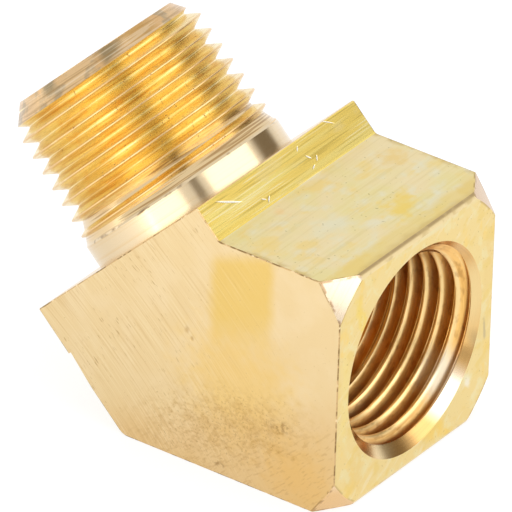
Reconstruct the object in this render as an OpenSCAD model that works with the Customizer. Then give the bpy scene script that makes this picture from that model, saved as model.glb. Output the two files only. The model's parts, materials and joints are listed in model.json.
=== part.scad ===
// 45 degree street elbow for pipe: one piece of brass, cut from an extruded angle bar.
// A male tapered pipe thread is turned on one leg and a female one is tapped in the other.
// +X points out of the female port and Y runs along the extrusion, from sawn side to sawn side.
// The origin is on the bottom flat, straight below the point where the two bore axes cross.

/* [Body] */
// Distance across the flats of the extruded bar, on both legs
bar_w = 20.4; // [20:0.1:26]
// Length sawn off the extrusion, from one sawn side to the other
sawn_l = 20.4; // [20:0.1:26]
// Angle that the flow turns through
bend_angle = 45; // [30:5:60]
// From the crossing of the axes to the shoulder of the male leg
shoulder_d = 7.3; // [6:0.1:12]
// From the crossing of the axes to the face of the female leg
mouth_d = 15.5; // [15.5:0.1:22]
// Radius of the turned corner cone where it meets the female face
corner_cone_r = 12.4; // [10:0.1:16]
// Slope of the corner cone, measured from the female face
corner_cone_angle = 45; // [30:1:60]

/* [Pipe thread] */
// Threads in one inch of length
threads_per_inch = 18; // [18:1:27]
// Pitch diameter at the small end of the male thread
pitch_d = 15.545; // [14:0.005:16]
// Pitch diameter at the mouth of the female thread
mouth_pitch_d = 15.926; // [15:0.001:17]
// Change of diameter for each unit of length
taper = 0.0625; // [0.03:0.0005:0.0625]
// Height of the thread form as a share of the pitch
form_height = 0.76; // [0.6:0.01:0.8]

/* [Male end] */
// Length of the turned nipple, from shoulder to end face
nipple_l = 13.9; // [12:0.1:18]
// Length of full thread, from the end face
full_thread_l = 9.2; // [6:0.1:10]
// Length over which the thread runs out after the full thread
runout_l = 2.6; // [1.5:0.1:3]
// Diameter of the plain turned neck between the thread and the shoulder
neck_d = 17.5; // [17.4:0.1:19]
// Diameter of the end face, inside its lead-in chamfer
end_face_d = 13.8; // [12:0.1:14.5]
// Slope of the lead-in chamfer, measured from the axis
lead_angle = 38; // [30:1:45]
// Diameter of the drilled waterway through the male leg
waterway_d = 10.4; // [6:0.1:11]

/* [Female end] */
// Diameter of the hole drilled for the tap
tap_drill_d = 14.7; // [14.3:0.1:15]
// Depth of the hole drilled for the tap, to its full diameter
tap_drill_l = 13.6; // [12:0.1:14]
// Depth of the female thread below the face
tapped_l = 11; // [8:0.1:11.5]
// Diameter of the 90 degree countersink at the face
countersink_d = 17.5; // [17:0.1:18.5]
// Angle across the point that a drill leaves at the bottom of its hole
drill_point_angle = 118; // [90:1:140]

/* [Hidden] */
$fn = 96;
thread_steps = 32;
eps = 0.01;
pitch = 25.4 / threads_per_inch;
form_h = form_height * pitch;
// The 60 degree form: its flanks stand 30 degrees off square to the axis
flank_run = form_h * tan(30);
flat_l = (pitch - 2 * flank_run) / 2;
half_w = bar_w / 2;
bend_back = half_w * tan(bend_angle / 2);
centre_z = half_w;
tap_r = tap_drill_d / 2;
// How far a cutter runs past the face that it starts from, and the neck into the body
overshoot = 1;
// Plain step between the end of the run-out and the neck
neck_step = 0.2;
// How far the threaded rod reaches into the neck
rod_overlap = 0.4;
// Length of the corner cone's plain shank, well past the far end of the part
cone_shank_l = 4 * bar_w;
// Corners of a circumscribed polygon stay outside the drilled wall that it follows
round_up = 1 / cos(180 / thread_steps);

// Stands a shape made along +Z on the female axis, with z = 0 at the crossing of the axes
module on_female_axis() {
    translate([0, 0, centre_z]) rotate([0, 90, 0]) children();
}

// The same on the male axis, which leaves the crossing backwards and up
module on_male_axis() {
    translate([0, 0, centre_z]) rotate([0, bend_angle - 90, 0]) children();
}

// Radii of the thread form's four corners at height z: two on the root, then two on the crest
function form_r(corner, mid_r, slope, z) =
    mid_r + slope * z + (corner < 2 ? -form_h / 2 : form_h / 2);

// Heights of the four corners above the start of their turn
function form_z(corner) = [0, flat_l, flat_l + flank_run, 2 * flat_l + flank_run][corner];

// Root corners rise to the crest over the run-out
function run_out(corner, z, full_l, fade_l) =
    corner > 1 ? 0 : form_h * min(1, max(0, (z - full_l) / fade_l));

// Solid right-hand threaded rod along +Z, for z from low to high, with plain round ends.
// mid_r is the pitch radius at z = 0 and slope is its change per unit of height.
module threaded_rod(low, high, mid_r, slope, full_l, fade_l, least_r) {
    n = thread_steps;
    turns = ceil((high - low) / pitch) + 1;
    m = 4 * turns + 1;
    start = low - pitch;
    function z_at(i, j) = start + pitch * (floor(j / 4) + i / n) + form_z(j % 4);
    function r_at(i, j) = let (z = z_at(i, j), c = j % 4)
        max(least_r, form_r(c, mid_r, slope, z) + run_out(c, z, full_l, fade_l));
    function at(i, r, z) = [r * cos(360 * i / n), r * sin(360 * i / n), z];
    ring_low_r = max(least_r, mid_r + slope * start - form_h / 2);
    top = start + pitch * (turns + 1);
    ring_top_r = max(least_r, mid_r + slope * top - form_h / 2);
    points = concat(
        [for (i = [0 : n - 1]) at(i, ring_low_r, start - pitch / 2)],
        [for (i = [0 : n - 1], j = [0 : m - 1]) at(i, r_at(i, j), z_at(i, j))],
        [for (i = [0 : n - 1]) at(i, ring_top_r, top + pitch / 2)]
    );
    function lower(i) = i;
    function side(i, j) = n + i * m + j;
    function upper(i) = n + n * m + i;
    function quad(a, b, c, d) = [[a, b, c], [a, c, d]];
    function fan(hub, rim) = [for (k = [0 : len(rim) - 2]) [hub, rim[k], rim[k + 1]]];
    faces = concat(
        [[for (i = [0 : n - 1]) lower(i)]],
        [[for (i = [n - 1 : -1 : 0]) upper(i)]],
        [for (i = [0 : n - 2], j = [0 : m - 2], f =
            quad(side(i, j), side(i, j + 1), side(i + 1, j + 1), side(i + 1, j))) f],
        [for (j = [0 : m - 6], f =
            quad(side(n - 1, j), side(n - 1, j + 1), side(0, j + 5), side(0, j + 4))) f],
        [for (i = [0 : n - 2], f = quad(lower(i), side(i, 0), side(i + 1, 0), lower(i + 1))) f],
        [for (i = [0 : n - 2], f =
            quad(side(i, m - 1), upper(i), upper(i + 1), side(i + 1, m - 1))) f],
        fan(side(n - 1, 0), concat([for (j = [4 : -1 : 0]) side(0, j)], [lower(0), lower(n - 1)])),
        fan(side(0, m - 1), concat([for (j = [m - 5 : m - 1]) side(n - 1, j)], [upper(n - 1), upper(0)]))
    );
    polyhedron(points, faces, convexity = 10);
}

// Outline of the bent bar, seen along the extrusion
module bar_outline() {
    leg_l = shoulder_d + bend_back;
    polygon([
        [-bend_back, 0],
        [mouth_d, 0],
        [mouth_d, bar_w],
        [bend_back, bar_w],
        [bend_back - (shoulder_d - bend_back) * cos(bend_angle),
            bar_w + (shoulder_d - bend_back) * sin(bend_angle)],
        [-bend_back - leg_l * cos(bend_angle), leg_l * sin(bend_angle)]
    ]);
}

// The sawn bar, with the corners of its female leg turned back to a cone
module blank() {
    cone_l = bar_w;
    intersection() {
        rotate([90, 0, 0])
            linear_extrude(sawn_l, center = true)
                bar_outline();
        on_female_axis() rotate_extrude() polygon([
            [0, -cone_shank_l],
            [corner_cone_r + cone_l / tan(90 - corner_cone_angle), -cone_shank_l],
            [corner_cone_r + cone_l / tan(90 - corner_cone_angle), mouth_d - cone_l],
            [corner_cone_r, mouth_d],
            [corner_cone_r, mouth_d + overshoot],
            [0, mouth_d + overshoot]
        ]);
    }
}

// Turned nipple with its tapered thread, lead-in chamfer and plain neck
module nipple() {
    neck_r = neck_d / 2;
    neck_from = full_thread_l + runout_l + neck_step;
    rod_l = neck_from + rod_overlap;
    on_male_axis() translate([0, 0, shoulder_d + nipple_l]) rotate([180, 0, 0]) {
        intersection() {
            threaded_rod(0, rod_l, pitch_d / 2, taper / 2, full_thread_l, runout_l, 0);
            rotate_extrude() polygon([
                [0, 0],
                [end_face_d / 2, 0],
                [end_face_d / 2 + nipple_l * tan(lead_angle), nipple_l],
                [end_face_d / 2 + nipple_l * tan(lead_angle), rod_l],
                [0, rod_l]
            ]);
        }
        translate([0, 0, neck_from]) cylinder(h = nipple_l - neck_from + overshoot, r = neck_r);
    }
}

// Blind drilled hole along +Z, full size from z = -depth up past z = 0, with its pointed bottom
module drilled_hole(r, depth) {
    point_l = r / tan(drill_point_angle / 2);
    rotate_extrude() polygon([[0, -depth - point_l], [r, -depth], [r, overshoot], [0, overshoot]]);
}

// Everything cut from the female leg: tap drill, countersink and tapered thread
module female_cut() {
    sink_r = countersink_d / 2;
    on_female_axis() translate([0, 0, mouth_d]) {
        drilled_hole(tap_r, tap_drill_l);
        rotate_extrude() polygon([
            [0, tap_r - sink_r],
            [tap_r, tap_r - sink_r],
            [sink_r + overshoot, overshoot],
            [0, overshoot]
        ]);
        intersection() {
            rotate([180, 0, 0])
                threaded_rod(-overshoot, tapped_l + overshoot, mouth_pitch_d / 2, -taper / 2,
                    tapped_l + 2 * overshoot, overshoot, (tap_r + eps) * round_up);
            translate([0, 0, -tapped_l])
                cylinder(h = tapped_l + overshoot / 2, r = sink_r + overshoot / 2);
        }
    }
}

// Waterway drilled down the male leg until it opens into the tap drill's hole
module waterway() {
    on_male_axis() translate([0, 0, shoulder_d + nipple_l])
        drilled_hole(waterway_d / 2, shoulder_d + nipple_l);
}

module street_elbow() {
    color([0.85, 0.66, 0.30]) difference() {
        union() {
            blank();
            nipple();
        }
        female_cut();
        waterway();
    }
}

street_elbow();
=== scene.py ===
"""A 45 degree street elbow: one piece of brass, cut from an extruded angle bar and then turned,
drilled and threaded. The blank and each cutter are modelled in millimetres, every cutter leaves
its own finish on what it cuts, and the finished part is brought to metres at the end."""

import json
import math

import bpy
from mathutils import Euler, Matrix, Vector


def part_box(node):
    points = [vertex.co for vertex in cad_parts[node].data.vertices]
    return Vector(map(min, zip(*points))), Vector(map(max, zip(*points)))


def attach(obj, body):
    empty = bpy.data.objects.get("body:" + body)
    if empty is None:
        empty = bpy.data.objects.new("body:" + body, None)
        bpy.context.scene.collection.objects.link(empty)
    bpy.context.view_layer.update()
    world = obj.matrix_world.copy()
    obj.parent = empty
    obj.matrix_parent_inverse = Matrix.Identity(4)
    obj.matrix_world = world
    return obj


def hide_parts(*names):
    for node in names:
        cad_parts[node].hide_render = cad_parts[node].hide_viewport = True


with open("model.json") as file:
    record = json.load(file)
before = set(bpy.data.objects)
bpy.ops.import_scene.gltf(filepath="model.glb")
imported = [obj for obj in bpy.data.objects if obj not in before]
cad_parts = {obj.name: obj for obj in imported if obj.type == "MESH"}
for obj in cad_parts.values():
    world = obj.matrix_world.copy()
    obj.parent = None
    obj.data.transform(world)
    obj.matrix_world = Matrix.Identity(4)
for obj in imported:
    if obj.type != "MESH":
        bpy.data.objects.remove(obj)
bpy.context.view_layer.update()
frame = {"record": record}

MM = 0.001
NODE = "street_elbow"

# ---------------------------------------------------------------- sizes, in millimetres

mounts = {mount["name"]: mount for mount in frame["record"]["mounts"]}


def place_of(name):
    """A mount's place, in millimetres."""
    return Vector(mounts[name]["pos_m"]) / MM


part_high = Vector(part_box(NODE)[1]) / MM
centre = Vector((0, 0, place_of("female_port").z))
male_axis = Vector(mounts["male_thread"]["axis"])
bend = math.radians(90) - math.asin(male_axis.z)

bar_w = place_of("spanner_flat").z
half_sawn = part_high.y
mouth_d = part_high.x
male_reach = (place_of("male_thread") - centre).length
neck_r = mounts["male_neck"]["dims"]["r_mm"]
neck_l = mounts["male_neck"]["dims"]["length_mm"]
shoulder_d = (place_of("male_neck") - centre).length - neck_l / 2
nipple_l = male_reach - shoulder_d
tap_r = mounts["female_port"]["dims"]["r_mm"]
tap_drill_l = mouth_d - place_of("female_port").x + mounts["female_port"]["dims"]["length_mm"] / 2
tapped_l = tap_drill_l - mounts["female_port"]["dims"]["length_mm"]

# The 3/8-18 tapered pipe thread
pitch = 25.4 / 18
form_h = 0.76 * pitch
flank_angle = math.radians(30)
flat_l = pitch / 2 - form_h * math.tan(flank_angle)
taper_slope = 1 / 32
male_pitch_r = 15.545 / 2
mouth_pitch_r = 15.926 / 2

full_thread_l = 9.2
end_face_r = 6.9
lead_angle = math.radians(38)
waterway_r = 5.2
sink_r = 8.75
corner_cone_r = 12.4
drill_half_angle = math.radians(59)

# How far along its flanks each root and crest of the threads is rounded
male_root_soft = 0.12
male_crest_soft = 0.06
female_root_soft = 0.08
female_crest_soft = 0.36

# The bar's edges: the soft lip over and under the mouth, the bend's outer corner and inner fillet,
# and what is broken off every other edge
lip_r = 0.4
outer_corner_r = 0.45
inner_fillet_r = 0.2
edge_break = 0.09

# The nick in the outer edge of the near side: its top is measured along the male leg
nick_top = 7.44
nick_l = 3.6
nick_depth = 0.3
nick_thick = 0.6

# Cutters reach this far past what they cut, and places closer than SAME count as one
CLEAR = 1.0
SAME = 0.01
# Two directions agree when the product of their unit vectors passes this
FACING = 0.999

TURN_STEPS = 160
CONE_STEPS = 256
THREAD_STEPS = 144

# ---------------------------------------------------------------- materials


def linear(code):
    """An sRGB hex colour as linear red, green, blue and alpha."""
    shades = [int(code[i:i + 2], 16) / 255 for i in (0, 2, 4)]
    return [s / 12.92 if s < 0.04045 else ((s + 0.055) / 1.055) ** 2.4 for s in shades] + [1]


def node(tree, kind, links=None, **settings):
    """Adds a node: settings are its own, and links sets or joins its sockets by name or number."""
    new = tree.nodes.new(kind)
    for name, value in settings.items():
        setattr(new, name, value)
    for socket, value in (links or {}).items():
        if isinstance(value, bpy.types.NodeSocket):
            tree.links.new(value, new.inputs[socket])
        else:
            new.inputs[socket].default_value = value
    return new


class Brass:
    """A brass finish in the making: stains, relief and roughness are laid over one base colour.
    Places and sizes are in millimetres, in the part's own frame."""

    def __init__(self, name, colour, roughness):
        self.material = bpy.data.materials.new(name)
        self.material.use_nodes = True
        self.tree = self.material.node_tree
        self.tree.nodes.clear()
        self.colour = linear(colour)
        self.roughness = roughness
        self.height = None

    def add(self, kind, links=None, **settings):
        return node(self.tree, kind, links, **settings).outputs

    def place(self, at=(0, 0, 0), turn=(0, 0, 0), size=(1, 1, 1)):
        """Coordinates from a point, along turned axes, in units of size."""
        return self.add(
            "ShaderNodeMapping",
            {
                "Vector": self.add("ShaderNodeTexCoord")["Object"],
                "Location": [value * MM for value in at],
                "Rotation": turn,
                "Scale": [value * MM for value in size],
            },
            vector_type="TEXTURE",
        )[0]

    def cloud(self, size, at=(0, 0, 0), turn=(0, 0, 0), detail=3.0):
        """A cloudy pattern around 0.5, its spots about as big as size."""
        where = self.place(at, turn, size)
        return self.add("ShaderNodeTexNoise", {"Vector": where, "Scale": 1.0, "Detail": detail})[0]

    def away(self, axes, at=(0, 0, 0), turn=(0, 0, 0)):
        """The distance from a plane, line or point: axes has a 1 for each direction that counts."""
        counted = self.add(
            "ShaderNodeVectorMath", {0: self.place(at, turn), 1: axes}, operation="MULTIPLY"
        )[0]
        return self.add("ShaderNodeVectorMath", {0: counted}, operation="LENGTH")["Value"]

    def ragged(self, value, amount, size):
        """A distance that wanders by an amount, over spots about as big as size."""
        return self.add(
            "ShaderNodeMath", {0: self.cloud(size), 1: amount, 2: value}, operation="MULTIPLY_ADD"
        )[0]

    def mask(self, *parts):
        """The product of its parts. A part is a mask, an amount, or a value with two limits:
        0 at the first, 1 at the second and a soft step between them."""
        whole = None
        for part in parts:
            if isinstance(part, tuple):
                value, nothing, full = part
                part = self.add(
                    "ShaderNodeMapRange",
                    {"Value": value, "From Min": nothing, "From Max": full},
                    interpolation_type="SMOOTHSTEP",
                )[0]
            if whole is None:
                whole = part
            else:
                whole = self.add("ShaderNodeMath", {0: whole, 1: part}, operation="MULTIPLY")[0]
        return whole

    def dab(self, at, size, turn=(0, 0, 0), soft=0.5, torn=0.0):
        """A soft-edged oval: 1 in its middle, 0 past its rim, which can be torn."""
        reach = self.add(
            "ShaderNodeVectorMath", {0: self.place(at, turn, size)}, operation="LENGTH"
        )["Value"]
        if torn:
            reach = self.ragged(reach, torn, (0.9, 1.3, 0.9))
        return self.mask((reach, 1.0 + torn / 2, 1.0 - soft + torn / 2))

    def corner_line(self):
        """A broken line along the edge that the corner cone cuts."""
        where = self.add("ShaderNodeSeparateXYZ", {0: self.place()})["X"]
        reach = self.add(
            "ShaderNodeMath", {0: self.away((0, 1, 1), at=centre), 1: where}, operation="ADD"
        )[0]
        edge = corner_cone_r + mouth_d
        return self.mask((reach, edge - 0.2, edge - 0.06), (self.cloud((0.9, 0.9, 0.9)), 0.4, 0.56))

    def stain(self, colour, strength, *parts):
        """Lays a colour over the finish where the parts hold."""
        self.colour = self.add(
            "ShaderNodeMix",
            {0: self.mask(*parts, strength), 6: self.colour, 7: linear(colour)},
            data_type="RGBA",
        )[2]

    def relief(self, height, *parts):
        """Raises (or, with a minus, cuts) the surface where the parts hold."""
        step = self.mask(*parts, height * MM)
        if self.height is not None:
            step = self.add("ShaderNodeMath", {0: self.height, 1: step}, operation="ADD")[0]
        self.height = step

    def rougher(self, amount, *parts):
        self.roughness = self.add(
            "ShaderNodeMath", {0: self.mask(*parts, amount), 1: self.roughness}, operation="ADD"
        )[0]

    def finish(self):
        links = {"Base Color": self.colour, "Metallic": 1.0, "Roughness": self.roughness}
        if self.height is not None:
            links["Normal"] = self.add("ShaderNodeBump", {"Height": self.height, "Distance": 1.0})[0]
        shader = node(self.tree, "ShaderNodeBsdfPrincipled", links)
        node(self.tree, "ShaderNodeOutputMaterial", {"Surface": shader.outputs[0]})
        return self.material


# A turn that brings Z along the male axis, and one that lays the inner flat's plane level
TO_MALE = (0, bend - math.pi / 2, 0)
INNER_FLAT = (0, bend, 0)


def on_inner_flat(spin):
    """A turn in the inner flat's own plane."""
    return (Euler(INNER_FLAT).to_matrix() @ Euler((0, 0, spin)).to_matrix()).to_euler()


# A dab this wide reaches right through the bar
THROUGH = 60


def make_sawn():
    """Sides cut by a saw: pale gold, fine arcs along the male leg, tan and pitted low down."""
    made = Brass("sawn_brass", "e0c695", 0.36)
    where = made.add("ShaderNodeSeparateXYZ", {0: made.place()})
    # Height above a line that climbs with the flat over the bend
    slant = made.add(
        "ShaderNodeMath", {0: where["X"], 1: -0.38, 2: where["Z"]}, operation="MULTIPLY_ADD"
    )[0]
    torn_slant = made.ragged(slant, 1.6, (3, 3, 3))
    torn_x = made.ragged(where["X"], 1.6, (3, 3, 3))
    made.stain("e4cda2", 0.6, (made.cloud((3.4, 3.4, 3.4)), 0.42, 0.66))
    # Painted reflection: golden over the middle, deeper inside a straight-sided patch
    made.stain("e3c076", 0.8, made.dab((6.5, 0, 8.6), (8.0, THROUGH, 7.5), soft=0.8, torn=0.7))
    painted_reflection_sides = made.mask((torn_x, 3.8, 5.1), (torn_x, 10.8, 9.4))
    made.stain("ddb95d", 0.75, painted_reflection_sides, (slant, 18.2, 16.6), (torn_slant, 9.0, 13.5))
    # Tan and darker towards the foot, a painted shade; golden again at the mouth's lower corner
    made.stain("d5ac6c", 0.4, (torn_slant, 6.4, 2.4))
    made.rougher(0.05, (torn_slant, 6.4, 2.4))
    low_gold = made.dab((12.0, -10, 2.6), (5.5, THROUGH, 4.5), soft=0.9, torn=0.6)
    made.stain("dfb365", 0.6, low_gold)
    # Marks of a 200 mm blade, as arcs about its shaft: lines, drawn a little coarser than the real
    # ones so that they show, and short dark scores. They fade towards the mouth.
    reach = made.away((1, 0, 1), at=(-55, 0, -46))
    travel = made.add("ShaderNodeMath", {0: where["X"], 1: where["Z"]}, operation="SUBTRACT")[0]
    swing = made.add("ShaderNodeCombineXYZ", {0: reach, 1: travel})[0]
    lines, scores = (
        made.add(
            "ShaderNodeTexNoise",
            {
                "Vector": made.add(
                    "ShaderNodeVectorMath", {0: swing, 1: (7.0, per_mm, 0)}, operation="MULTIPLY"
                )[0],
                "Scale": 1.0,
                "Detail": detail,
            },
        )[0]
        for per_mm, detail in ((0.12, 2.0), (0.84, 1.0))
    )
    fading = made.mask((torn_x, 15.0, -2.0))
    made.stain("ebd7ab", 0.42, (lines, 0.52, 0.7), fading)
    made.stain("bf985f", 0.28, (lines, 0.47, 0.3), fading)
    made.relief(0.0025, lines)
    made.stain("a07b47", 0.5, (scores, 0.63, 0.74), (made.cloud((3, 3, 3)), 0.46, 0.62), fading)
    # Pits and grime in a band above the foot, thin elsewhere
    band = made.dab(
        (5.2, -half_sawn, 4.4), (11.5, THROUGH, 4.8), turn=(0, -0.36, 0), soft=0.8, torn=0.8
    )
    pits = made.add(
        "ShaderNodeMath", {0: band, 1: 0.11, 2: made.cloud((0.2, 0.2, 0.2))}, operation="MULTIPLY_ADD"
    )[0]
    made.stain("a3804c", 0.42, (pits, 0.65, 0.76))
    made.relief(-0.002, (pits, 0.65, 0.76))
    for size, strength in (((0.42, 0.42, 0.3), 0.34), ((1.2, 1.2, 0.7), 0.22)):
        made.stain("b58d4f", strength, band, (made.cloud(size), 0.44, 0.66))
    # Diagonal smears low down by the mouth
    smears = made.cloud((0.9, 9, 0.22), turn=(0, -0.75, 0), detail=2.0)
    made.stain("af8448", 0.28, (smears, 0.54, 0.68), (torn_slant, 4.6, 0.6))
    # Two dents and two smudges
    for at, size in (((1.5, -half_sawn, 11.6), 0.32), ((2.0, -half_sawn, 11.0), 0.2)):
        dent = made.dab(at, (size, size, size * 1.6), soft=0.8, torn=0.8)
        made.relief(-0.03, dent)
        made.stain("b48f56", 0.5, dent)
    for x, z, size in ((10.3, 6.4, (1.9, 1.5, 0.9)), (4.9, 0.9, (0.9, 1.0, 0.4))):
        smudge = made.dab((x, -half_sawn, z), size, soft=0.9, torn=0.6)
        made.stain("927042", 0.6, smudge, (made.cloud((0.24, 0.24, 0.24)), 0.46, 0.66))
    made.stain("9e7b4b", 0.7, made.corner_line())
    return made.finish()


def make_drawn():
    """Flats as the extrusion left them: pale greenish yellow, faint lines across, yellow blotches."""
    made = Brass("extruded_brass", "ebd9aa", 0.34)
    made.stain("e5d896", 0.7, (made.cloud((4, 5, 4)), 0.4, 0.64))
    made.stain("ecd183", 0.7, (made.cloud((1.6, 3.0, 1.6), at=(3, 1, 0)), 0.5, 0.7))
    made.stain("e5dfc3", 0.75, (made.cloud((1.3, 2.2, 1.3), at=(9, 5, 2)), 0.5, 0.72))
    lines = made.cloud((0.28, 9, 0.28), detail=2.0)
    made.stain("d0bb77", 0.2, (lines, 0.54, 0.68))
    made.stain("f2eac9", 0.14, (lines, 0.46, 0.32))
    made.relief(0.002, lines)
    # Blotches on the flat over the mouth
    for x, y, spin, size, colour, strength in (
        (5.4, -3.9, 0.3, (0.8, 0.7, 2), "efcb90", 0.6),
        (7.5, -8.4, 0.7, (1.5, 2.3, 2), "eed27f", 0.6),
        (7.3, 8.2, 0.2, (1.5, 1.5, 2), "e9ca7f", 0.7),
        (11.8, 2.4, 0.5, (1.5, 2.8, 2), "edd06d", 0.9),
        (14.2, -6.4, 0.1, (1.5, 2.2, 2), "eccb6f", 0.6),
        (13.4, 5.0, 0.4, (0.8, 3.4, 2), "e4e1cb", 0.7),
        (9.5, -3.0, 0.2, (2.4, 2.8, 2), "e3ddbb", 0.6),
        (14.4, 8.0, 0.0, (0.9, 2.2, 2), "e2c373", 0.7),
    ):
        blotch = made.dab((x, y, bar_w), size, turn=(0, 0, spin), soft=0.9, torn=2.2)
        made.stain(colour, strength, blotch)
    # A browner, dirtier rim along the two long edges, and a golden one before the lip
    rim = (made.away((0, 1, 0)), half_sawn - 0.7, half_sawn - 0.05)
    made.stain("c3a561", 0.6, rim, (made.cloud((1, 1, 1)), 0.36, 0.56))
    torn_x = made.ragged(made.add("ShaderNodeSeparateXYZ", {0: made.place()})["X"], 1.6, (2, 3, 2))
    made.stain("e6cd7d", 0.6, (torn_x, mouth_d - 1.5, mouth_d - 0.7))
    made.stain("c8a965", 0.5, (torn_x, mouth_d - 0.2, mouth_d + 0.5))
    made.stain("a58652", 0.7, made.corner_line())
    made.stain("9b8a52", 0.6, (made.cloud((0.26, 0.26, 0.26), detail=1.0), 0.73, 0.79))
    return made.finish()


def make_scored():
    """The inner flat, scored by the die: strong yellow with coarse lines along the extrusion."""
    made = Brass("die_scored_brass", "f5d873", 0.27)
    made.stain("f7e38a", 0.8, (made.cloud((0.6, 14, 3), turn=INNER_FLAT, detail=1.0), 0.45, 0.65))
    lines = made.cloud((0.16, 9, 3), turn=INNER_FLAT, detail=2.0)
    made.stain("b9a04c", 0.45, (lines, 0.44, 0.33))
    made.stain("fcf0b8", 0.8, (lines, 0.57, 0.66))
    made.relief(0.012, lines)
    made.stain("f2dfa0", 0.4, (made.cloud((1.2, 3, 1.2)), 0.58, 0.7))
    # A long scratch across the lines, then nicks and chips, cut in, each with a painted highlight
    for at, spin, size in (
        ((2.76, -7.0, 21.87), -0.46, (0.11, 1.5, 0.5)),
        ((3.86, -3.28, 20.77), 0.7, (0.09, 0.35, 0.4)),
        ((3.7, -3.75, 20.9), -0.5, (0.07, 0.3, 0.4)),
        ((2.2, 6.4, 22.4), -0.6, (0.06, 0.9, 0.4)),
        ((3.5, 3.4, 21.1), 0.9, (0.09, 0.3, 0.4)),
        ((3.2, 2.7, 21.4), -0.8, (0.08, 0.35, 0.4)),
        ((2.5, 2.2, 22.1), 0.8, (0.07, 0.3, 0.4)),
        ((3.8, 2.6, 20.8), 0.4, (0.08, 0.3, 0.4)),
    ):
        scratch_and_glint = made.dab(at, size, turn=on_inner_flat(spin))
        made.stain("fffaf0", 0.95, scratch_and_glint)
        made.relief(-0.03, scratch_and_glint)
    return made.finish()


def make_faced():
    """The mouth's face: pale yellow, wiped with whitish streaks, yellower beside the bore."""
    made = Brass("faced_brass", "e7cf8e", 0.3)
    made.stain("e8ce8a", 0.8, (made.cloud((4, 4, 4)), 0.42, 0.6))
    streaks = made.cloud((3, 3.2, 0.6), turn=(0.6, 0, 0), detail=2.0)
    made.stain("ebdbaf", 0.5, (streaks, 0.56, 0.7))
    made.relief(0.002, streaks)
    made.stain("eccc77", 0.8, (made.cloud((2, 1.6, 2.2), at=(0, 4, 2)), 0.57, 0.68))
    for y, z, spin, size, colour, strength in (
        (-7.2, 16.2, 0.35, (2, 0.75, 3.2), "eacc64", 0.85),
        (-9.2, 10.5, 0.0, (2, 0.7, 5.5), "ead487", 0.6),
        (-7.5, 3.0, 0.2, (2, 1.8, 2.4), "e4c77f", 0.6),
        (3.0, 1.6, 1.1, (2, 1.1, 3.5), "ecc962", 0.8),
        (9.4, 13.5, 0.0, (2, 0.9, 4.2), "e6c983", 0.7),
        (9.0, 8.0, 0.0, (2, 1.4, 4.2), "e4cb87", 0.6),
        (1.8, 19.9, 1.57, (2, 0.4, 7.5), "e5d6a7", 0.8),
        (7.2, 3.9, 0.5, (2, 0.5, 1.1), "ede6d0", 0.8),
        (9.3, 7.5, 0.1, (2, 0.22, 1.3), "b2a280", 0.6),
    ):
        blotch = made.dab((mouth_d, y, z), size, turn=(spin, 0, 0), soft=0.7, torn=1.3)
        made.stain(colour, strength, blotch)
    for size, colour in (((2, 1.1, 1.6), "e6daa7"), ((2, 1.5, 1.1), "e4c66f")):
        made.stain(colour, 0.55, (made.cloud(size, at=(0, size[1], 7), turn=(0.5, 0, 0)), 0.52, 0.68))
    made.stain("9b814a", 0.5, (made.cloud((0.2, 0.2, 0.2), detail=1.0), 0.71, 0.78))
    made.stain("b1915b", 0.6, made.corner_line())
    return made.finish()


def make_turned():
    """The neck, turned bright with a keen tool: pale, nearly a mirror, rougher at the run-out."""
    made = Brass("turned_brass", "e1cba6", 0.15)
    rings = made.cloud((40, 40, 0.25), at=centre, turn=TO_MALE, detail=2.0)
    made.stain("dcbb87", 0.4, (rings, 0.5, 0.7))
    made.relief(0.0006, rings)
    # A broken brown line where the thread runs out, then amber tool lines
    runs_out = shoulder_d + neck_l
    line = made.away((0, 0, 1), at=centre + male_axis * (runs_out + 0.05), turn=TO_MALE)
    made.stain("74522d", 0.75, (line, 0.16, 0.05), (made.cloud((1.6, 1.6, 1.6)), 0.52, 0.66))
    along = made.add("ShaderNodeSeparateXYZ", {0: made.place(centre, TO_MALE)})["Z"]
    past = made.mask((along, runs_out + 0.1, runs_out + 0.3))
    grooves = made.cloud((7, 7, 0.16), at=centre, turn=TO_MALE, detail=1.0)
    made.stain("e1c28d", 0.6, past)
    made.stain("a17841", 0.7, past, (grooves, 0.52, 0.62))
    made.relief(0.03, past, grooves)
    made.rougher(0.05, (made.cloud((1.5, 1.5, 1.5)), 0.5, 0.7))
    return made.finish()


def make_facet():
    """The corners turned off by the cone: pale and bright, a little frosted."""
    made = Brass("turned_corner_brass", "ecd8bc", 0.24)
    made.stain("e3c8a0", 0.3, (made.cloud((0.2, 9, 9), detail=2.0), 0.5, 0.7))
    # The far corners are pinker, the low ones golden, and a broken brown line follows the edges
    where = made.add("ShaderNodeSeparateXYZ", {0: made.place(centre)})
    made.stain("d3b595", 0.8, (where["Y"], 4.0, 8.0))
    made.stain("e2b878", 0.85, (where["Z"], -6.0, -8.5))
    broken = made.mask((made.cloud((0.8, 0.8, 0.8)), 0.4, 0.56))
    for sideways in ((0, 1, 0), (0, 0, 1)):
        reach = made.away(sideways, at=centre)
        made.stain("a07a4a", 0.7, (reach, bar_w / 2 - 0.22, bar_w / 2 - 0.08), broken)
    return made.finish()


def make_shoulder():
    """The shoulder round the neck, faced in the lathe: pale, ringed finely."""
    made = Brass("faced_shoulder_brass", "eed6b0", 0.24)
    reach = made.away((1, 1, 0), at=centre, turn=TO_MALE)
    # Five rings to the millimetre, about three times as coarse as the real ones
    rings = made.add("ShaderNodeTexNoise", {"W": reach, "Scale": 5.0}, noise_dimensions="1D")[0]
    made.stain("d8b482", 0.5, (rings, 0.5, 0.65))
    made.relief(0.003, rings)
    return made.finish()


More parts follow.
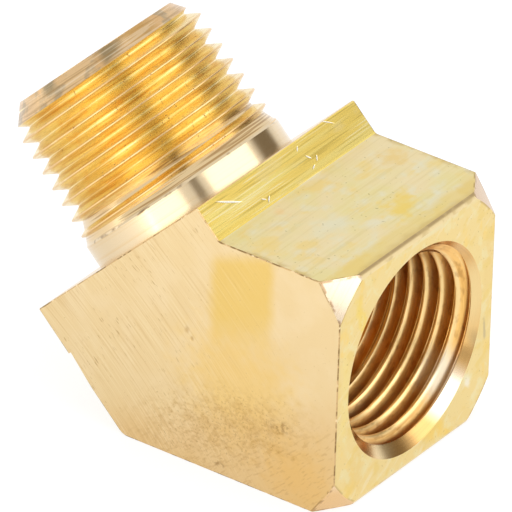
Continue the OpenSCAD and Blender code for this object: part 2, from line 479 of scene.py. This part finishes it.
def make_lead():
    """The end chamfer, turned dull: tan and ringed, with grey stains and a golden stretch."""
    made = Brass("turned_end_brass", "d9b07c", 0.26)
    made.stain("dfbe90", 0.8, (made.cloud((2.2, 2.2, 2.2)), 0.42, 0.55))
    made.stain("a8977a", 0.75, (made.cloud((1.8, 1.8, 1.8), at=(2, 0, 1)), 0.5, 0.62))
    # Stains this far down the chamfer, each at its own angle round the end
    down = 0.3
    upright = Euler(TO_MALE).to_matrix()
    for angle, size, colour, strength in (
        (8, 1.0, "978a6c", 0.7),
        (53, 1.7, "84785c", 0.8),
        (76, 2.2, "c39858", 0.8),
    ):
        spin = Euler((0, 0, math.radians(angle))).to_matrix()
        outward = upright @ spin @ Vector((0, -end_face_r - down, 0))
        at = centre + male_axis * (male_reach - down) + outward
        made.stain(colour, strength, made.dab(at, (size, size, size), soft=0.8, torn=0.9))
    rings = made.cloud((6, 6, 0.16), at=centre, turn=TO_MALE, detail=1.0)
    made.stain("a07c48", 0.45, (rings, 0.54, 0.68))
    made.stain("f3dfc0", 0.4, (rings, 0.44, 0.34))
    made.relief(0.003, rings)
    return made.finish()


def make_thread():
    """The die-cut male thread: light amber from one flank to the next, with fine cutting lines."""
    made = Brass("die_cut_thread_brass", "f1da9a", 0.26)
    lines = made.cloud((5, 5, 0.17), at=centre, turn=TO_MALE, detail=2.0)
    made.stain("d6a44d", 0.55, (lines, 0.5, 0.36))
    made.stain("faedc2", 0.6, (lines, 0.54, 0.7))
    made.relief(0.007, lines)
    made.stain("ebc078", 0.5, (made.cloud((1.1, 1.1, 1.1)), 0.56, 0.7))
    # The crests are rubbed tan, with painted highlights (glints) on them. The taper is taken off the
    # radius, so that every crest lies at the same one.
    along = made.add("ShaderNodeSeparateXYZ", {0: made.place(centre, TO_MALE)})["Z"]
    radius = made.add(
        "ShaderNodeMath",
        {0: along, 1: taper_slope, 2: made.away((1, 1, 0), at=centre, turn=TO_MALE)},
        operation="MULTIPLY_ADD",
    )[0]
    crest_r = male_pitch_r + form_h / 2 + male_reach * taper_slope
    crest = made.mask((radius, crest_r - 0.16, crest_r - 0.05))
    made.stain("e4bd85", 0.75, crest)
    made.stain("f6e2ab", 0.55, crest, (made.cloud((1.3, 1.3, 1.3)), 0.56, 0.68))
    chips = made.mask((made.cloud((0.3, 0.3, 0.3), detail=1.0), 0.71, 0.78))
    made.stain("885e29", 0.6, chips)
    made.relief(-0.03, chips)
    return made.finish()


def make_tapped():
    """The tapped thread: golden, with painted highlights on the crests, and the tap's lines round the
    bore.
    Its roots are brown on the near side, where grime and shade gather, and golden on the far one."""
    made = Brass("tapped_thread_brass", "f2c67c", 0.3)
    lines = made.cloud((0.16, 5, 5), detail=2.0)
    made.stain("c6904c", 0.5, (lines, 0.5, 0.36))
    made.stain("fbe4b4", 0.5, (lines, 0.54, 0.7))
    made.relief(0.008, lines)
    made.stain("d29a54", 0.5, (made.cloud((0.7, 1.6, 1.6)), 0.52, 0.68))
    # The taper is taken off the radius, as on the male thread
    where = made.add("ShaderNodeSeparateXYZ", {0: made.place()})
    radius = made.add(
        "ShaderNodeMath",
        {0: where["X"], 1: -taper_slope, 2: made.away((0, 1, 1), at=centre)},
        operation="MULTIPLY_ADD",
    )[0]
    crest_r = mouth_pitch_r - form_h / 2 - mouth_d * taper_slope
    # Paler crests: a painted highlight
    made.stain("f6d698", 0.8, (radius, crest_r + 0.42, crest_r + 0.2))
    made.stain("8c4c18", 0.95, (radius, crest_r + 0.4, crest_r + 0.8), (where["Y"], 3.5, -3.5))
    made.stain("f6bf62", 0.35, (radius, crest_r + 0.2, crest_r + 0.5), (where["Y"], 0.0, 5.0))
    made.stain("a06a34", 0.4, (made.cloud((0.25, 1.1, 1.1)), 0.5, 0.7))
    # A painted highlight on the first turns, low on the far side
    made.stain("fdf2da", 0.75, made.dab((14.2, 5.4, 5.0), (2.6, 3.0, 5.4), turn=(0.75, 0, 0), soft=0.8))
    return made.finish()


def make_sunk():
    """The countersink, turned: golden tan, ringed, with a painted white highlight low on the far side."""
    made = Brass("countersunk_brass", "d9ad6c", 0.2)
    rings = made.cloud((0.14, 8, 8), detail=2.0)
    made.stain("cfa468", 0.5, (rings, 0.5, 0.36))
    made.relief(0.003, rings)
    x = mouth_d - 0.5
    # A painted white highlight low on the far side
    made.stain("fbf0da", 0.9, made.dab((x, 5.2, 3.6), (3, 3.0, 4.0), turn=(0.75, 0, 0), soft=0.7))
    # Paler at its foot, a painted highlight, and on the far side, with a grey rub below that
    made.stain("f6e2b4", 0.7, made.dab((x, -3.4, 2.6), (2, 2.6, 1.6), soft=0.8))
    made.stain("efd79c", 0.75, made.dab((x, 8.2, 11.6), (3, 1.8, 5.4), soft=0.8))
    made.stain("9a8a63", 0.6, made.dab((x, 8.3, 7.0), (2, 0.8, 1.4), soft=0.8))
    # A ragged brown line where it breaks into the first turn of the thread
    torn_r = made.ragged(made.away((0, 1, 1), at=centre), 0.7, (0.35, 0.35, 0.35))
    breaks_in_r = 8.22
    made.stain("8a5f34", 0.75, (torn_r, breaks_in_r + 0.1, breaks_in_r - 0.1))
    return made.finish()


def make_drilled():
    """Drilled bores: golden brown, spiral drill marks."""
    made = Brass("drilled_brass", "e2b872", 0.28)
    marks = made.cloud((0.3, 6, 6), detail=2.0)
    made.stain("f2d59c", 0.5, (marks, 0.5, 0.66))
    made.relief(0.004, marks)
    return made.finish()


def make_edge():
    """Broken edges: bright where freshly knocked, dark where dirt holds in the burr."""
    made = Brass("burred_edge_brass", "cfae7c", 0.34)
    made.stain("866a40", 0.85, (made.cloud((0.8, 0.8, 0.8)), 0.45, 0.6))
    made.stain("f4ddb0", 0.8, (made.cloud((0.5, 0.5, 0.5), at=(5, 1, 3)), 0.56, 0.66))
    return made.finish()


def make_lip():
    """The soft lip over the mouth: pale like the face, brown where it rolls into the flat above."""
    made = Brass("rolled_lip_brass", "e9d3a0", 0.34)
    made.stain("94764a", 0.7, (made.away((0, 0, 1), at=centre), bar_w / 2 - 0.16, bar_w / 2 - 0.03))
    made.stain("cdb47e", 0.6, (made.cloud((1.1, 1.1, 1.1)), 0.5, 0.66))
    return made.finish()


sawn_brass = make_sawn()
drawn_brass = make_drawn()
scored_brass = make_scored()
faced_brass = make_faced()
turned_brass = make_turned()
lead_brass = make_lead()
threaded_brass = make_thread()
tapped_brass = make_tapped()
sunk_brass = make_sunk()
drilled_brass = make_drilled()
facet_brass = make_facet()
shoulder_brass = make_shoulder()
edge_brass = make_edge()
lip_brass = make_lip()

# ---------------------------------------------------------------- modelling helpers


def start_piece(name, finish):
    """Names the new primitive, gives it its finish and selects all of it in edit mode."""
    piece = bpy.context.object
    piece.name = name
    piece.data.materials.append(finish)
    bpy.ops.object.mode_set(mode="EDIT")
    bpy.ops.mesh.select_mode(type="VERT")
    bpy.ops.mesh.select_all(action="SELECT")
    return piece


def deselect():
    bpy.ops.object.select_all(action="DESELECT")


def work_on(piece):
    deselect()
    piece.select_set(True)
    bpy.context.view_layer.objects.active = piece


def put(piece, turn, move):
    """Turns a piece about the origin, then moves it, and keeps both in its mesh."""
    work_on(piece)
    piece.rotation_euler = turn
    piece.location = move
    bpy.ops.object.transform_apply(location=True, rotation=True, scale=True)


def on_female_axis(piece):
    """Stands a shape made along +Z, with z = 0 at the mouth, on the female axis: +Z points out."""
    put(piece, Euler((0, math.radians(90), 0)), Vector((mouth_d, 0, centre.z)))


def into_male_end(piece):
    """Stands a shape made along +Z, with z = 0 at the end face, on the male axis: +Z points in."""
    turn = Euler((0, bend - math.radians(90), 0)).to_matrix() @ Euler((math.pi, 0, 0)).to_matrix()
    put(piece, turn.to_euler(), centre + male_axis * male_reach)


def turned(name, outline, finish, sides=TURN_STEPS):
    """A solid of revolution about Z: outline is pairs of radius and height, from end to end."""
    deselect()
    (first_r, first_z), rest = outline[0], outline[1:]
    bpy.ops.mesh.primitive_circle_add(
        vertices=sides, radius=first_r, fill_type="NGON", location=(0, 0, first_z)
    )
    bpy.ops.object.transform_apply(location=True)
    piece = start_piece(name, finish)
    r, z = first_r, first_z
    for next_r, next_z in rest:
        bpy.ops.mesh.extrude_region_move(TRANSFORM_OT_translate={"value": (0, 0, next_z - z)})
        bpy.ops.transform.resize(value=(next_r / r, next_r / r, 1))
        r, z = next_r, next_z
    bpy.ops.mesh.select_all(action="SELECT")
    bpy.ops.mesh.normals_make_consistent(inside=False)
    bpy.ops.object.mode_set(mode="OBJECT")
    return piece


def rounded_root(soft):
    """Three points of a thread's root: its middle, one on its curve and where the flank takes over."""
    lift = soft / 4
    middle = Vector((lift, 0))
    bent_at = Vector((lift, flat_l / 2 + lift * math.tan(flank_angle)))
    flank = Vector((soft * math.cos(flank_angle), flat_l / 2 + soft * math.sin(flank_angle)))
    return [middle, middle / 4 + bent_at / 2 + flank / 4, flank]


def threaded(name, pitch_r, slope, root_z, low, high, root_soft, crest_soft, finish):
    """A right-hand threaded rod along +Z from low to high, its pitch radius growing by slope.
    On the +X side a root starts at root_z. The soft sizes say how far roots and crests are rounded."""
    deselect()
    bpy.ops.mesh.primitive_plane_add(size=1)
    piece = start_piece(name, finish)
    bpy.ops.mesh.merge(type="CENTER")
    crest = [Vector((form_h - p.x, pitch / 2 - p.y)) for p in rounded_root(crest_soft)]
    half = rounded_root(root_soft) + crest[::-1]
    turn_back = [Vector((p.x, pitch - p.y)) for p in half[-2::-1]]
    start = Vector((pitch_r - form_h / 2 + half[0].x, root_z + flat_l / 2 - 2 * pitch))
    bpy.ops.transform.translate(value=(start.x, 0, start.y))
    at = half[0]
    for point in half[1:] + turn_back:
        step = point - at
        bpy.ops.mesh.extrude_region_move(TRANSFORM_OT_translate={"value": (step.x, 0, step.y)})
        at = point
    bpy.ops.object.mode_set(mode="OBJECT")
    screw = piece.modifiers.new("screw", "SCREW")
    screw.screw_offset = pitch
    screw.iterations = math.ceil((high - root_z) / pitch) + 3
    screw.steps = screw.render_steps = THREAD_STEPS
    bpy.ops.object.modifier_apply(modifier=screw.name)
    bpy.ops.object.mode_set(mode="EDIT")
    bpy.ops.mesh.select_all(action="SELECT")
    bpy.ops.mesh.remove_doubles(threshold=0.0001)
    for end, side in ((low, -1), (high, 1)):
        bpy.ops.mesh.select_all(action="SELECT")
        bpy.ops.mesh.bisect(plane_co=(0, 0, end), plane_no=(0, 0, side), clear_outer=True)
        bpy.ops.mesh.edge_face_add()
    bpy.ops.mesh.select_all(action="SELECT")
    bpy.ops.mesh.normals_make_consistent(inside=False)
    bpy.ops.object.mode_set(mode="OBJECT")
    taper = piece.modifiers.new("taper", "SIMPLE_DEFORM")
    taper.deform_method = "TAPER"
    taper.deform_axis = "Z"
    taper.factor = slope / pitch_r * (high - low)
    bpy.ops.object.modifier_apply(modifier=taper.name)
    return piece


def combine(piece, tool, operation):
    """Cuts, joins or trims a piece with a tool, which is used up."""
    work_on(piece)
    change = piece.modifiers.new("combine", "BOOLEAN")
    change.operation = operation
    change.object = tool
    change.solver = "MANIFOLD"
    change.material_mode = "TRANSFER"
    bpy.ops.object.modifier_apply(modifier=change.name)
    bpy.data.objects.remove(tool)


def select_edges(piece, wanted):
    """Selects, in edit mode, the edges whose two ends satisfy wanted(a, b)."""
    bpy.ops.object.mode_set(mode="OBJECT")
    corners = piece.data.vertices
    bpy.ops.object.mode_set(mode="EDIT")
    bpy.ops.mesh.select_all(action="DESELECT")
    bpy.ops.mesh.select_mode(type="EDGE")
    bpy.ops.object.mode_set(mode="OBJECT")
    for edge in piece.data.edges:
        a, b = (corners[i].co for i in edge.vertices)
        edge.select = wanted(a, b)
    bpy.ops.object.mode_set(mode="EDIT")


def select_faces(piece, wanted):
    """Selects, in edit mode, the faces that satisfy wanted(middle, normal)."""
    bpy.ops.object.mode_set(mode="EDIT")
    bpy.ops.mesh.select_all(action="DESELECT")
    bpy.ops.mesh.select_mode(type="FACE")
    bpy.ops.object.mode_set(mode="OBJECT")
    for face in piece.data.polygons:
        face.select = wanted(face.center, face.normal)
    bpy.ops.object.mode_set(mode="EDIT")


def refinish(piece, finish, wanted):
    """Gives a finish to the faces that satisfy wanted(middle, normal)."""
    work_on(piece)
    select_faces(piece, wanted)
    if finish.name not in piece.data.materials:
        piece.data.materials.append(finish)
    piece.active_material_index = piece.data.materials.find(finish.name)
    bpy.ops.object.material_slot_assign()
    bpy.ops.object.mode_set(mode="OBJECT")


# ---------------------------------------------------------------- the blank

inner_normal = Vector((math.sin(bend), 0, math.cos(bend)))
bend_back = bar_w / 2 * math.tan(bend / 2)


def bent_bar():
    """The bar as sawn: a straight leg whose end is leaned to the mitre and drawn out along the other."""
    deselect()
    bpy.ops.mesh.primitive_cube_add(size=1, location=(0.5, 0, 0.5))
    bpy.ops.object.transform_apply(location=True)
    piece = start_piece("elbow", sawn_brass)
    bpy.ops.transform.resize(value=(mouth_d, 2 * half_sawn, bar_w), center_override=(0, 0, 0))

    def slide(rows, step):
        select_edges(piece, rows)
        bpy.ops.transform.translate(value=step)

    slide(lambda a, b: max(a.x, b.x) < SAME and min(a.z, b.z) > bar_w - SAME, (bend_back, 0, 0))
    slide(lambda a, b: max(a.x, b.x) < SAME and max(a.z, b.z) < SAME, (-bend_back, 0, 0))
    select_faces(piece, lambda middle, normal: normal.x < -0.5)
    leg = male_axis * (shoulder_d - bend_back)
    bpy.ops.mesh.extrude_region_move(TRANSFORM_OT_translate={"value": leg})
    slide(
        lambda a, b: (a + b).z / 2 < leg.z + SAME
        and min(a.z, b.z) > SAME
        and max(a.x, b.x) < -bend_back,
        male_axis * (2 * bend_back),
    )
    bpy.ops.mesh.select_all(action="SELECT")
    bpy.ops.mesh.normals_make_consistent(inside=False)
    bpy.ops.object.mode_set(mode="OBJECT")
    return piece


def round_edges(piece, wanted, width, segments):
    """Rounds the edges that satisfy wanted(a, b)."""
    work_on(piece)
    select_edges(piece, wanted)
    bpy.ops.mesh.bevel(offset=width, segments=segments, affect="EDGES")
    bpy.ops.object.mode_set(mode="OBJECT")


inner_reach = Vector((bend_back, 0, bar_w)).dot(inner_normal)


def is_scored(middle, normal):
    return normal.dot(inner_normal) > FACING and abs(middle.dot(inner_normal) - inner_reach) < SAME


elbow = bent_bar()
refinish(elbow, drawn_brass, lambda middle, normal: abs(normal.y) < 0.5)
refinish(elbow, scored_brass, is_scored)
refinish(elbow, faced_brass, lambda middle, normal: normal.x > FACING)
refinish(elbow, shoulder_brass, lambda middle, normal: normal.dot(male_axis) > FACING)
# The lip, over and under the mouth, then the bend's outer corner and its inner fillet
round_edges(elbow, lambda a, b: min(a.x, b.x) > mouth_d - SAME and abs(a.z - b.z) < SAME, lip_r, 5)
round_edges(
    elbow,
    lambda a, b: max(a.z, b.z) < SAME and max(a.x, b.x) < 0 and abs(a.x - b.x) < SAME,
    outer_corner_r,
    5,
)
round_edges(
    elbow,
    lambda a, b: min(a.z, b.z) > bar_w - SAME
    and max(a.x, b.x) < bend_back + SAME
    and abs(a.x - b.x) < SAME,
    inner_fillet_r,
    4,
)


def is_soft_lip(middle, normal):
    return middle.x > mouth_d - lip_r and 0.1 < abs(normal.z) < FACING


refinish(elbow, lip_brass, is_soft_lip)
# Every other edge is only just broken, and keeps its own dirty, burred finish
edges = elbow.modifiers.new("edges", "BEVEL")
edges.limit_method = "ANGLE"
edges.angle_limit = math.radians(35)
edges.width = edge_break
edges.segments = 2
edges.use_clamp_overlap = False
elbow.data.materials.append(edge_brass)
edges.material = elbow.data.materials.find(edge_brass.name)
work_on(elbow)
bpy.ops.object.modifier_apply(modifier=edges.name)
cone_l = 3 * bar_w
corner_cone = turned(
    "corner_cone",
    [(corner_cone_r + cone_l, -cone_l), (corner_cone_r - CLEAR, CLEAR)],
    facet_brass,
    CONE_STEPS,
)
on_female_axis(corner_cone)
combine(elbow, corner_cone, "INTERSECT")

# The nick is a thin block laid along the leg, leaned so that it runs out to nothing below
inward = Vector((-male_axis.x, 0, male_axis.z))
deselect()
bpy.ops.mesh.primitive_cube_add(size=1)
nick = bpy.context.object
nick.data.materials.append(edge_brass)
nick.scale = (nick_thick, 3 * CLEAR, nick_l)
nick_turn = Euler((0, bend - math.radians(90) + math.atan(nick_depth / nick_l), 0))
nick_middle = Vector((-bend_back, -half_sawn, 0)) + male_axis * (nick_top - nick_l / 2)
put(nick, nick_turn, nick_middle + inward * (nick_depth - nick_thick) / 2)
combine(elbow, nick, "DIFFERENCE")

# ---------------------------------------------------------------- nipple and bores

neck_from = nipple_l - neck_l
lead_l = nipple_l + 3 * CLEAR
# The rod starts just outside the end face and ends inside the neck
nipple = threaded(
    "nipple",
    pitch_r=male_pitch_r,
    slope=taper_slope,
    root_z=0,
    low=-0.3,
    high=neck_from + 0.4,
    root_soft=male_root_soft,
    crest_soft=male_crest_soft,
    finish=threaded_brass,
)
# The core starts inside the last full turns and swells to the neck, so the thread fades into it
fade_r = male_pitch_r + taper_slope * full_thread_l - form_h / 2
core = turned(
    "nipple_core",
    [
        (fade_r - 0.3, full_thread_l - 0.6),
        (neck_r - 0.12, neck_from - 0.15),
        (neck_r, neck_from),
        (neck_r, nipple_l + CLEAR),
    ],
    turned_brass,
)
combine(nipple, core, "UNION")
# The chamfer's cone starts a hair outside the end face, so that no two faces coincide
lead = turned(
    "lead_cone",
    [(end_face_r - 0.02, -0.001), (end_face_r + lead_l * math.tan(lead_angle), lead_l)],
    lead_brass,
)
combine(nipple, lead, "INTERSECT")
into_male_end(nipple)
combine(elbow, nipple, "UNION")

tap_drill = turned(
    "tap_drill",
    [
        (SAME, -tap_drill_l - tap_r / math.tan(drill_half_angle)),
        (tap_r, -tap_drill_l),
        (tap_r, CLEAR),
    ],
    drilled_brass,
)
on_female_axis(tap_drill)
combine(elbow, tap_drill, "DIFFERENCE")

# A tap's root cuts a crest, and its crest a root
tap = threaded(
    "tap",
    pitch_r=mouth_pitch_r,
    slope=-taper_slope,
    root_z=-CLEAR,
    low=-1.2 * CLEAR,
    high=tapped_l,
    root_soft=female_crest_soft,
    crest_soft=female_root_soft,
    finish=tapped_brass,
)
put(tap, Euler((math.pi, 0, 0)), Vector())
on_female_axis(tap)
combine(elbow, tap, "DIFFERENCE")

sink_tip_r = tap_r - 0.2
countersink = turned(
    "countersink", [(sink_tip_r, sink_tip_r - sink_r), (sink_r + CLEAR, CLEAR)], sunk_brass
)
on_female_axis(countersink)
combine(elbow, countersink, "DIFFERENCE")

waterway = turned(
    "waterway",
    [
        (waterway_r, -CLEAR),
        (waterway_r, male_reach),
        (SAME, male_reach + waterway_r / math.tan(drill_half_angle)),
    ],
    drilled_brass,
)
into_male_end(waterway)
combine(elbow, waterway, "DIFFERENCE")

# Flats stay flat and turned faces smooth, and the part goes from millimetres to metres
work_on(elbow)
bpy.ops.object.shade_smooth_by_angle(angle=math.radians(32))
level = elbow.modifiers.new("level", "WEIGHTED_NORMAL")
level.keep_sharp = True
bpy.ops.object.modifier_apply(modifier=level.name)
elbow.scale = (MM, MM, MM)
bpy.ops.object.transform_apply(location=False, rotation=False, scale=True)
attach(elbow, "root")
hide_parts(NODE)

# ---------------------------------------------------------------- floor, light and camera, in metres

deselect()
bpy.ops.mesh.primitive_plane_add(size=6)
floor = bpy.context.object
floor.name = "floor"
paper = bpy.data.materials.new("white_paper")
paper.use_nodes = True
paper_shader = paper.node_tree.nodes["Principled BSDF"]
paper_shader.inputs["Base Color"].default_value = linear("9c9c9e")
paper_shader.inputs["Roughness"].default_value = 0.9
# The paper is lit a little from below, more so towards the near side: the contact shadow stays faint
paper_shader.inputs["Emission Color"].default_value = (1, 1, 1, 1)
paper_place = node(paper.node_tree, "ShaderNodeTexCoord").outputs["Object"]
paper_y = node(paper.node_tree, "ShaderNodeSeparateXYZ", {0: paper_place}).outputs["Y"]
lit_below = node(
    paper.node_tree,
    "ShaderNodeMapRange",
    {"Value": paper_y, "From Min": -0.015, "From Max": -0.16, "To Min": 0.72, "To Max": 1.4},
).outputs[0]
paper.node_tree.links.new(lit_below, paper_shader.inputs["Emission Strength"])
floor.data.materials.append(paper)

scene = bpy.context.scene
scene.view_settings.view_transform = "Standard"
world = bpy.data.worlds.new("studio")
scene.world = world
world.use_nodes = True
sky = world.node_tree
sky.nodes["Background"].inputs["Color"].default_value = (1, 1, 1, 1)
sky.nodes["Background"].inputs["Strength"].default_value = 1.0


def softbox(name, direction, distance, size, radiance, along=(0, 0, 1)):
    """A rectangular area light that faces the fitting; its height runs along a direction."""
    lamp = bpy.data.lights.new(name, "AREA")
    lamp.shape = "RECTANGLE"
    lamp.size, lamp.size_y = size
    lamp.energy = radiance * math.pi * size[0] * size[1]
    light = bpy.data.objects.new(name, lamp)
    scene.collection.objects.link(light)
    aim(light, direction, distance, along)
    light.visible_camera = False


def aim(thing, direction, distance, along, size=(1, 1, 1)):
    """Puts a light or card out in a direction, facing the fitting, its Y along another one."""
    out = Vector(direction).normalized()
    side = Vector(along).cross(out).normalized()
    turn = Matrix((side, out.cross(side), out)).transposed()
    thing.matrix_world = (
        Matrix.Translation(centre * MM + out * distance) @ turn.to_4x4() @ Matrix.Diagonal((*size, 1))
    )


def dark_card(name, direction, distance, size, shade, strength, along=(0, 0, 1)):
    """A soft-edged dark card that only shows in the metal's reflections."""
    deselect()
    bpy.ops.mesh.primitive_plane_add(size=2)
    card = bpy.context.object
    card.name = name
    aim(card, direction, distance, along, (size[0] / 2, size[1] / 2, 1))
    paint = bpy.data.materials.new(name)
    paint.use_nodes = True
    tree = paint.node_tree
    tree.nodes.clear()
    where = node(tree, "ShaderNodeTexCoord").outputs["Object"]
    reach = node(tree, "ShaderNodeVectorMath", {0: where}, operation="LENGTH").outputs["Value"]
    solid = node(
        tree,
        "ShaderNodeMapRange",
        {"Value": reach, "From Min": 1.0, "From Max": 0.45, "To Max": strength},
        interpolation_type="SMOOTHSTEP",
    ).outputs[0]
    glow = node(tree, "ShaderNodeEmission", {"Color": (shade, shade * 0.8, shade * 0.55, 1)})
    clear = node(tree, "ShaderNodeBsdfTransparent")
    mixed = node(tree, "ShaderNodeMixShader", {0: solid, 1: clear.outputs[0], 2: glow.outputs[0]})
    node(tree, "ShaderNodeOutputMaterial", {"Surface": mixed.outputs[0]})
    card.data.materials.append(paint)
    card.visible_camera = False
    card.visible_shadow = False
    card.visible_diffuse = False


# A wide softbox up on the mouth's side, a smaller one level with the part on the near side
softbox(
    "key",
    direction=(0.754, 0.133, 0.643),
    distance=0.5,
    size=(0.56, 0.34),
    radiance=1.15,
    along=male_axis,
)
softbox("fill", direction=(0.16, -0.96, 0.2), distance=0.27, size=(0.22, 0.16), radiance=1.1)
# A dark gap between them, and a broader card behind
dark_card(
    "gap",
    direction=(0.60, -0.56, 0.575),
    distance=0.6,
    size=(0.13, 1.3),
    shade=0.2,
    strength=0.88,
    along=male_axis,
)
dark_card(
    "far_card",
    direction=(0.35, 0.87, 0.32),
    distance=0.6,
    size=(0.5, 0.4),
    shade=0.22,
    strength=0.97,
    along=male_axis,
)

camera_data = bpy.data.cameras.new("camera")
camera = bpy.data.objects.new("camera", camera_data)
scene.collection.objects.link(camera)
scene.camera = camera
azimuth, elevation, roll = math.radians(34.82), math.radians(31.36), math.radians(1.83)
camera_distance = 1.0
view_width = 38.97 * MM
look_at = (centre + Vector((0.55, 0, 2.70))) * MM
back = Vector((
    math.sin(azimuth) * math.cos(elevation), -math.cos(azimuth) * math.cos(elevation), math.sin(elevation)
))
camera.location = look_at + back * camera_distance
camera.rotation_euler = (back.to_track_quat("Z", "Y") @ Euler((0, 0, roll)).to_quaternion()).to_euler()
camera_data.sensor_width = 36
camera_data.lens = camera_distance / view_width * camera_data.sensor_width
camera_data.clip_start = 0.01
camera_data.clip_end = 100
